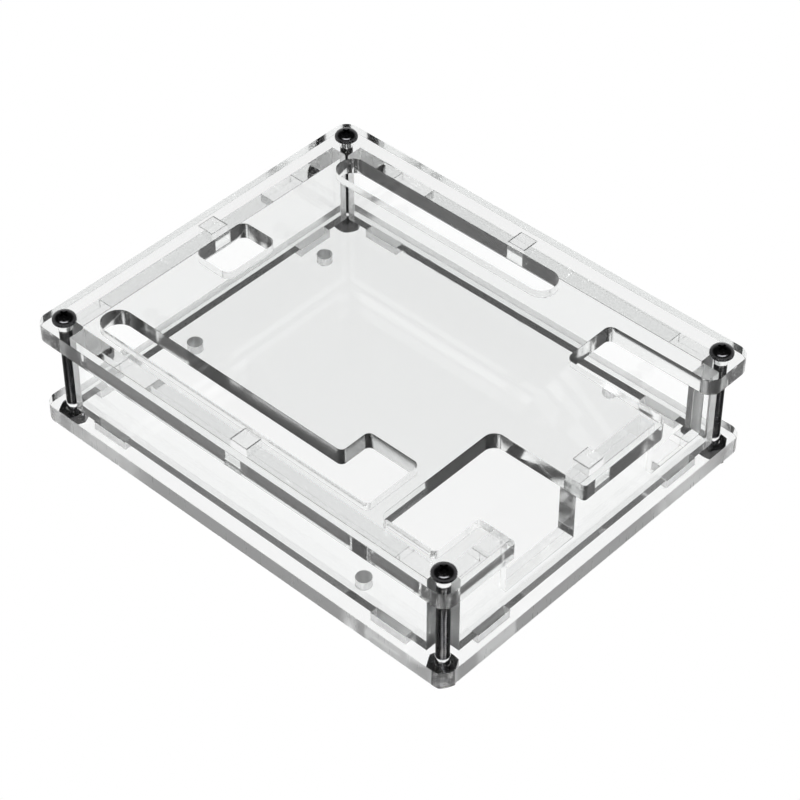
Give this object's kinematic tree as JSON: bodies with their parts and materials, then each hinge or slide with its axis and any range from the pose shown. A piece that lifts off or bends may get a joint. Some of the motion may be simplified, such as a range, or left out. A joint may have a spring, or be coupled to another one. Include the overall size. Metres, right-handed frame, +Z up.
{
  "type": "single board computer case",
  "caption": "Clear laser-cut acrylic case for a small microcontroller board: plates tabbed to walls and clamped by corner screws, with openings for connectors and headers.",
  "frame": {"origin": "below the middle of the case, on the plane of the nuts' undersides, which are its feet", "axes": "+X along the length towards the end with the USB and power-jack openings, +Z up, and -Y towards the long side with the stepped header slot, called the front"},
  "size_m": [0.0796, 0.0648, 0.0217],
  "materials": {
    "clear_acrylic": "clear, polished faces with laser-cut edges",
    "black_hardware": "glossy black plating"
  },
  "bodies": {
    "base": {"bottom_plate": "clear_acrylic", "front_long_wall": "clear_acrylic", "back_long_wall": "clear_acrylic", "connector_end_wall": "clear_acrylic", "plain_end_wall": "clear_acrylic"},
    "lid": {"top_plate": "clear_acrylic"},
    "screw_front_left": {"corner_screw_front_left": "black_hardware"},
    "nut_front_left": {"corner_nut_front_left": "black_hardware"},
    "screw_front_right": {"corner_screw_front_right": "black_hardware"},
    "nut_front_right": {"corner_nut_front_right": "black_hardware"},
    "screw_back_left": {"corner_screw_back_left": "black_hardware"},
    "nut_back_left": {"corner_nut_back_left": "black_hardware"},
    "screw_back_right": {"corner_screw_back_right": "black_hardware"},
    "nut_back_right": {"corner_nut_back_right": "black_hardware"}
  },
  "joints": [
    {"name": "lid_lift", "type": "slide", "parent": "base", "child": "lid", "axis": [0, 0, 1], "range_m": [0, 0.024]},
    {"name": "screw_front_left_turn", "type": "hinge", "parent": "lid", "child": "screw_front_left", "pos_m": [-0.0367, -0.0292, 0.0204], "axis": [0, 0, 1], "range_deg": [0, 1080]},
    {"name": "nut_front_left_travel", "type": "slide", "parent": "base", "child": "nut_front_left", "axis": [0, 0, -1], "range_m": [0, 0.0012]},
    {"name": "screw_front_right_turn", "type": "hinge", "parent": "lid", "child": "screw_front_right", "pos_m": [0.0367, -0.0292, 0.0204], "axis": [0, 0, 1], "range_deg": [0, 1080]},
    {"name": "nut_front_right_travel", "type": "slide", "parent": "base", "child": "nut_front_right", "axis": [0, 0, -1], "range_m": [0, 0.0012]},
    {"name": "screw_back_left_turn", "type": "hinge", "parent": "lid", "child": "screw_back_left", "pos_m": [-0.0367, 0.0292, 0.0204], "axis": [0, 0, 1], "range_deg": [0, 1080]},
    {"name": "nut_back_left_travel", "type": "slide", "parent": "base", "child": "nut_back_left", "axis": [0, 0, -1], "range_m": [0, 0.0012]},
    {"name": "screw_back_right_turn", "type": "hinge", "parent": "lid", "child": "screw_back_right", "pos_m": [0.0367, 0.0292, 0.0204], "axis": [0, 0, 1], "range_deg": [0, 1080]},
    {"name": "nut_back_right_travel", "type": "slide", "parent": "base", "child": "nut_back_right", "axis": [0, 0, -1], "range_m": [0, 0.0012]}
  ],
  "couplings": [
    {"joint": "screw_front_left_turn", "follows": "nut_front_left_travel", "rad_per_m": 15707},
    {"joint": "screw_front_right_turn", "follows": "nut_front_right_travel", "rad_per_m": 15707},
    {"joint": "screw_back_left_turn", "follows": "nut_back_left_travel", "rad_per_m": 15707},
    {"joint": "screw_back_right_turn", "follows": "nut_back_right_travel", "rad_per_m": 15707}
  ]
}
